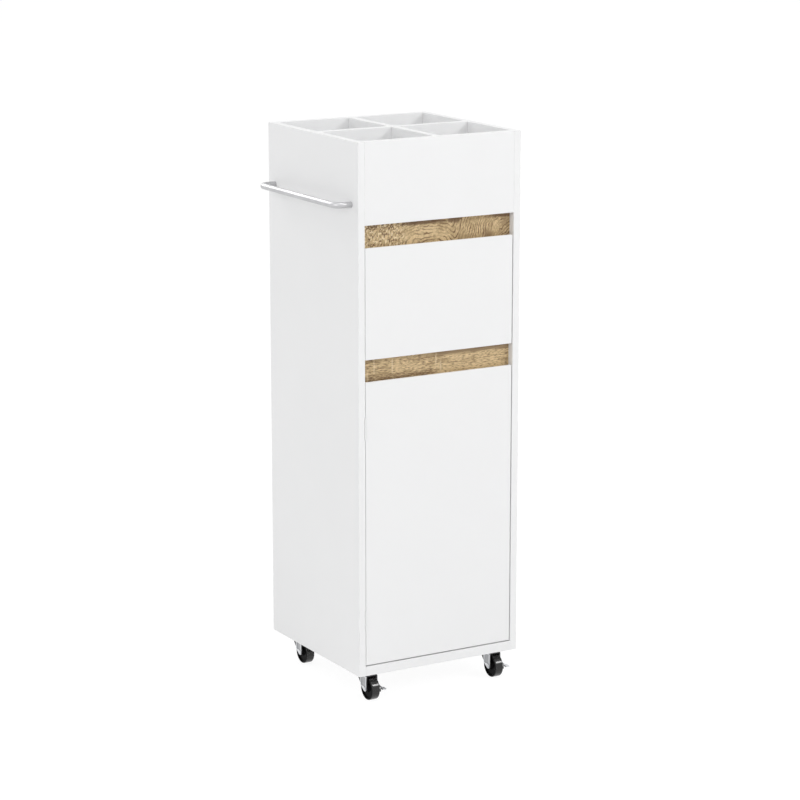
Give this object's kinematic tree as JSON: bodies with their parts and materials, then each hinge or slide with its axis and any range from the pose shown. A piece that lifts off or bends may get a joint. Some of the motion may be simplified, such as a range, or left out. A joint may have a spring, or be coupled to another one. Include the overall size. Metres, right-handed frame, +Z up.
{
  "type": "rolling bathroom cabinet",
  "caption": "Slim white rolling cabinet with an open compartment tray, a drawer and a door below oak finger recesses, a side towel rail and swivel casters with brakes.",
  "frame": {"origin": "on the floor under the middle of the carcass", "axes": "+X to the right as seen from the front, +Y to the back, +Z up"},
  "size_m": [0.332, 0.3036, 0.918],
  "materials": {
    "white_board": "white melamine faced board",
    "oak": "oak with a clear matt finish",
    "thin_sheet": "thin fibreboard faced white",
    "beech": "plain beech",
    "satin_chrome": "chromed steel bar",
    "white_paint": "white painted steel",
    "white_plastic": "white moulded plastic round a magnet",
    "black_wheel": "black moulded wheel",
    "friction_disc": "black friction compound",
    "zinc_steel": "zinc plated pressed steel"
  },
  "bodies": {
    "cabinet": {"assembly_dowels": "beech", "back_sheet": "thin_sheet", "bottom_panel": "white_board", "cam_bolts": "zinc_steel", "cam_locks": "zinc_steel", "caster_kingpins": "zinc_steel", "caster_plate_front_left": "zinc_steel", "caster_plate_front_right": "zinc_steel", "caster_plate_rear_left": "zinc_steel", "caster_plate_rear_right": "zinc_steel", "drawer_guide_left": "beech", "drawer_guide_right": "beech", "fascia": "white_board", "grip_rail_lower": "oak", "grip_rail_upper": "oak", "hinge_panel_leaves": "white_paint", "hinge_panel_screws": "white_paint", "hinge_pins": "zinc_steel", "magnet_catch": "white_plastic", "mid_panel": "white_board", "panel_screws": "zinc_steel", "shelf": "white_board", "shelf_pins": "zinc_steel", "side_panel_left": "white_board", "side_panel_right": "white_board", "towel_rail": "satin_chrome", "towel_rail_screws": "zinc_steel", "tray_back_board": "white_board", "tray_divider_cross": "white_board", "tray_divider_long": "white_board", "tray_floor": "white_board"},
    "drawer": {"drawer_back": "white_board", "drawer_bottom": "thin_sheet", "drawer_dowels": "beech", "drawer_front": "white_board", "drawer_side_left": "white_board", "drawer_side_right": "white_board"},
    "door": {"door": "white_board", "door_screws": "zinc_steel", "hinge_door_leaves": "white_paint", "strike_plate": "zinc_steel"},
    "swivel_front_left": {"axle_front_left": "zinc_steel", "fork_front_left": "zinc_steel", "brake_disc_front_left": "friction_disc"},
    "wheel_front_left": {"wheel_front_left": "black_wheel"},
    "lever_front_left": {"brake_lever_front_left": "zinc_steel"},
    "swivel_front_right": {"axle_front_right": "zinc_steel", "fork_front_right": "zinc_steel", "brake_disc_front_right": "friction_disc"},
    "wheel_front_right": {"wheel_front_right": "black_wheel"},
    "lever_front_right": {"brake_lever_front_right": "zinc_steel"},
    "swivel_rear_left": {"axle_rear_left": "zinc_steel", "fork_rear_left": "zinc_steel"},
    "wheel_rear_left": {"wheel_rear_left": "black_wheel"},
    "swivel_rear_right": {"axle_rear_right": "zinc_steel", "fork_rear_right": "zinc_steel"},
    "wheel_rear_right": {"wheel_rear_right": "black_wheel"}
  },
  "joints": [
    {"name": "drawer_slide", "type": "slide", "parent": "cabinet", "child": "drawer", "axis": [0, -1, 0], "range_m": [0, 0.19]},
    {"name": "door_swing", "type": "hinge", "parent": "cabinet", "child": "door", "pos_m": [-0.1376, -0.15, 0.3005], "axis": [0, 0, -1], "range_deg": [0, 160]},
    {"name": "swivel_front_left", "type": "hinge", "parent": "cabinet", "child": "swivel_front_left", "pos_m": [-0.1185, -0.112, 0.04], "axis": [0, 0, 1], "continuous": true},
    {"name": "roll_front_left", "type": "hinge", "parent": "swivel_front_left", "child": "wheel_front_left", "pos_m": [-0.1185, -0.13, 0.0195], "axis": [1, 0, 0], "continuous": true},
    {"name": "brake_front_left", "type": "hinge", "parent": "swivel_front_left", "child": "lever_front_left", "pos_m": [-0.1185, -0.13, 0.0195], "axis": [1, 0, 0], "range_deg": [0, 28]},
    {"name": "swivel_front_right", "type": "hinge", "parent": "cabinet", "child": "swivel_front_right", "pos_m": [0.1185, -0.112, 0.04], "axis": [0, 0, 1], "continuous": true},
    {"name": "roll_front_right", "type": "hinge", "parent": "swivel_front_right", "child": "wheel_front_right", "pos_m": [0.1185, -0.13, 0.0195], "axis": [1, 0, 0], "continuous": true},
    {"name": "brake_front_right", "type": "hinge", "parent": "swivel_front_right", "child": "lever_front_right", "pos_m": [0.1185, -0.13, 0.0195], "axis": [1, 0, 0], "range_deg": [0, 28]},
    {"name": "swivel_rear_left", "type": "hinge", "parent": "cabinet", "child": "swivel_rear_left", "pos_m": [-0.1185, 0.112, 0.04], "axis": [0, 0, 1], "continuous": true},
    {"name": "roll_rear_left", "type": "hinge", "parent": "swivel_rear_left", "child": "wheel_rear_left", "pos_m": [-0.1185, 0.094, 0.0195], "axis": [1, 0, 0], "continuous": true},
    {"name": "swivel_rear_right", "type": "hinge", "parent": "cabinet", "child": "swivel_rear_right", "pos_m": [0.1185, 0.112, 0.04], "axis": [0, 0, 1], "continuous": true},
    {"name": "roll_rear_right", "type": "hinge", "parent": "swivel_rear_right", "child": "wheel_rear_right", "pos_m": [0.1185, 0.094, 0.0195], "axis": [1, 0, 0], "continuous": true}
  ]
}
